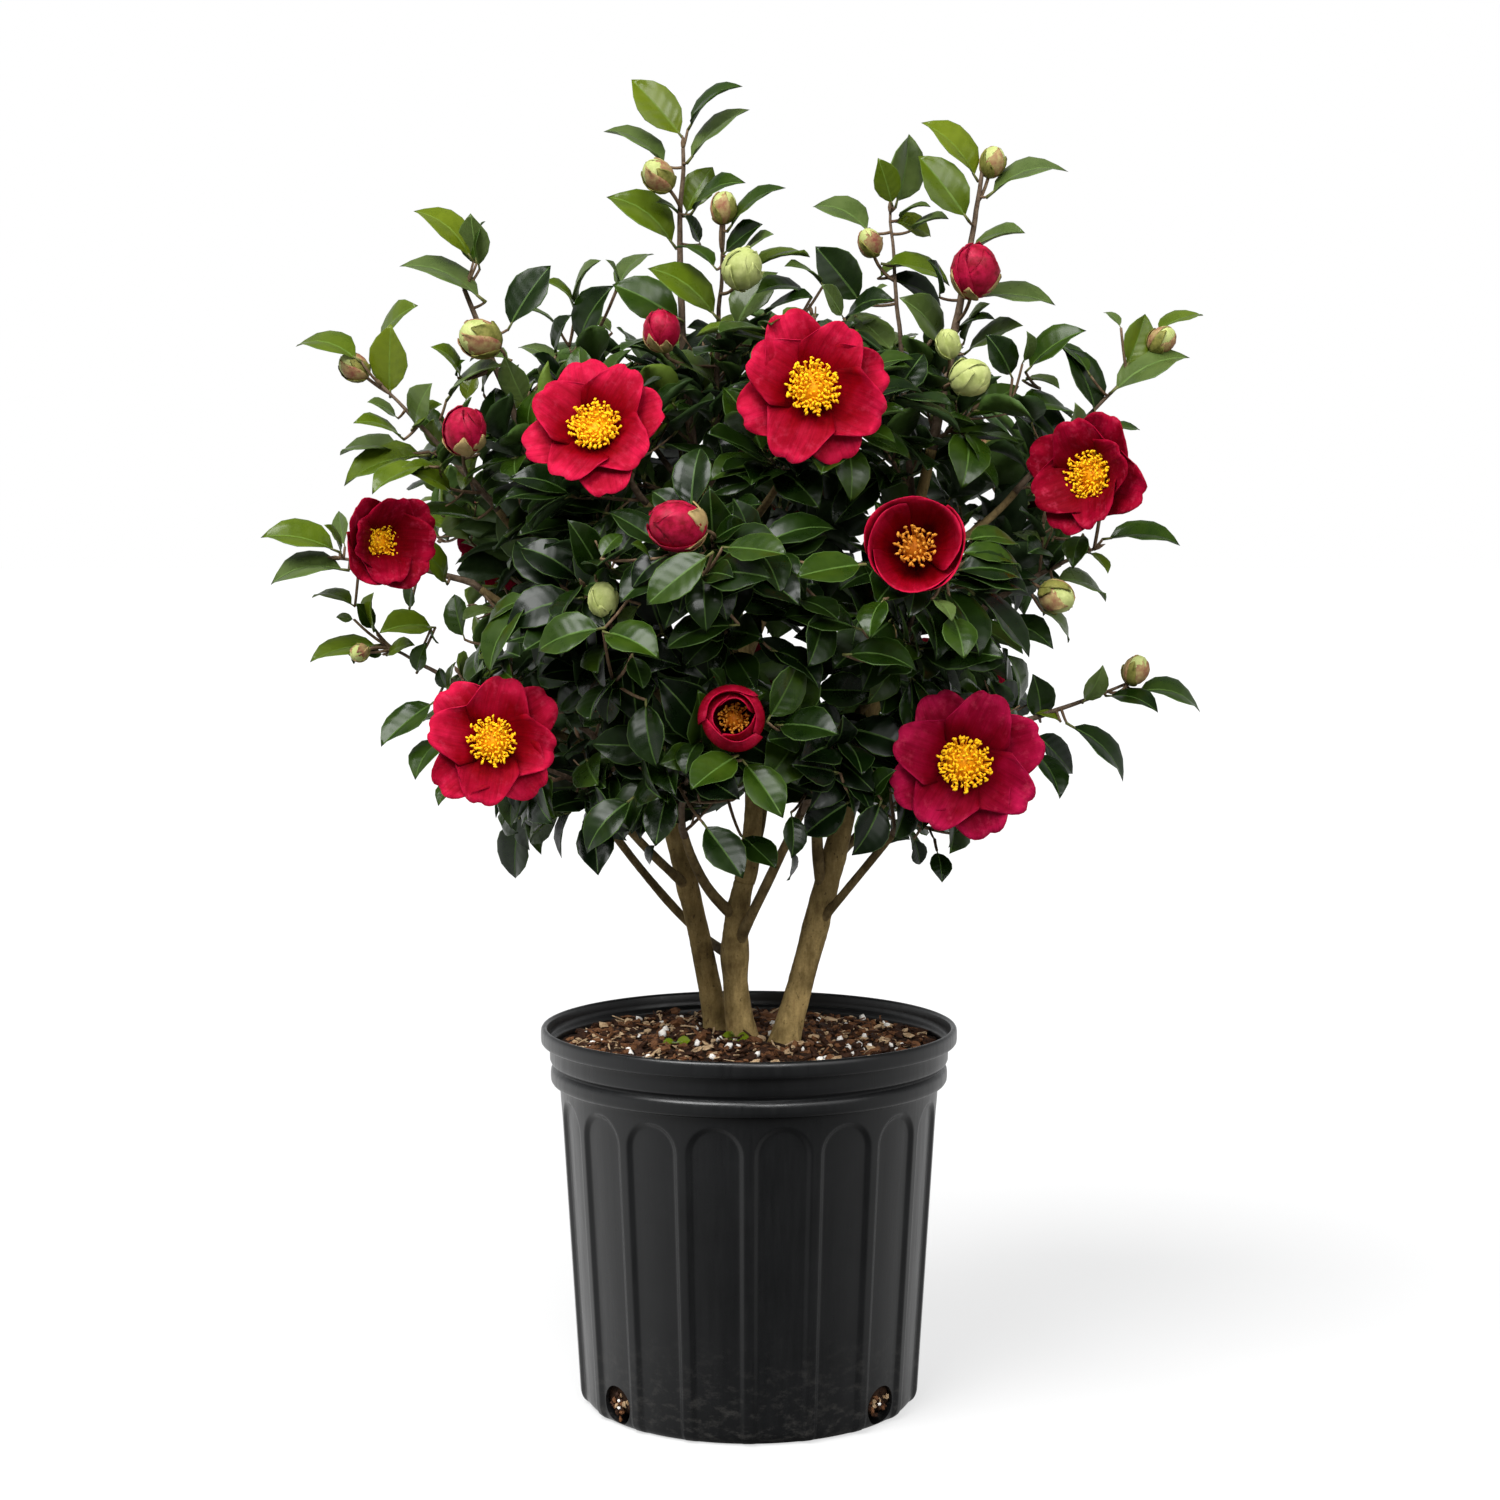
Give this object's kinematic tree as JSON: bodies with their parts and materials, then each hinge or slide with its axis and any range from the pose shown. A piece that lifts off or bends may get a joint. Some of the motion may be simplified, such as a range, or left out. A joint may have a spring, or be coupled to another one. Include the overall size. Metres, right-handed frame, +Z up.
{
  "type": "potted camellia shrub",
  "caption": "Multi-stemmed evergreen shrub with glossy leaves, open red blooms and buds, standing in the soil of a round black nursery pot with arched side panels.",
  "frame": {"origin": "centre of the pot's flat underside, on the ground", "axes": "+Z up, +X to the right and -Y to the front, the side that carries most of the open blooms"},
  "size_m": [0.6424, 0.4975, 0.8906],
  "materials": {
    "pot": "black moulded plastic, semi-matt with a soft sheen on its edges",
    "soil": "moist dark bark compost with pale grains of perlite",
    "bark": "smooth tan-brown bark with darker specks",
    "foliage": "glossy dark green leaves, with red petals and yellow stamens"
  },
  "bodies": {
    "root": {"back_left_bough": "bark", "back_middle_bough": "bark", "back_right_bough": "bark", "far_left_bough": "bark", "far_right_low_bough": "bark", "foliage_back_left": "foliage", "foliage_back_middle": "foliage", "foliage_back_right": "foliage", "foliage_far_left": "foliage", "foliage_far_right_low": "foliage", "foliage_front_left": "foliage", "foliage_front_middle": "foliage", "foliage_front_right": "foliage", "foliage_left_leader": "foliage", "foliage_left_low": "foliage", "foliage_left_upper": "foliage", "foliage_low_back": "foliage", "foliage_low_back_left": "foliage", "foliage_low_back_right": "foliage", "foliage_low_front": "foliage", "foliage_low_front_left": "foliage", "foliage_low_front_right": "foliage", "foliage_low_left": "foliage", "foliage_low_right": "foliage", "foliage_right_leader": "foliage", "foliage_right_middle": "foliage", "foliage_right_upper": "foliage", "foliage_top_back_left": "foliage", "foliage_top_back_right": "foliage", "foliage_top_front": "foliage", "foliage_top_leader": "foliage", "foliage_top_right": "foliage", "foliage_upper_front_left": "foliage", "foliage_upper_front_right": "foliage", "front_left_bough": "bark", "front_middle_bough": "bark", "front_right_bough": "bark", "leader_middle_bough": "bark", "left_low_bough": "bark", "left_upper_bough": "bark", "low_back_bough": "bark", "low_back_left_bough": "bark", "low_back_right_bough": "bark", "low_front_bough": "bark", "low_front_left_bough": "bark", "low_front_right_bough": "bark", "low_left_bough": "bark", "low_right_bough": "bark", "pot": "pot", "right_middle_bough": "bark", "right_upper_bough": "bark", "soil": "soil", "stem_left": "bark", "stem_middle": "bark", "stem_right": "bark", "upper_front_left_bough": "bark", "upper_front_right_bough": "bark"}
  },
  "joints": []
}
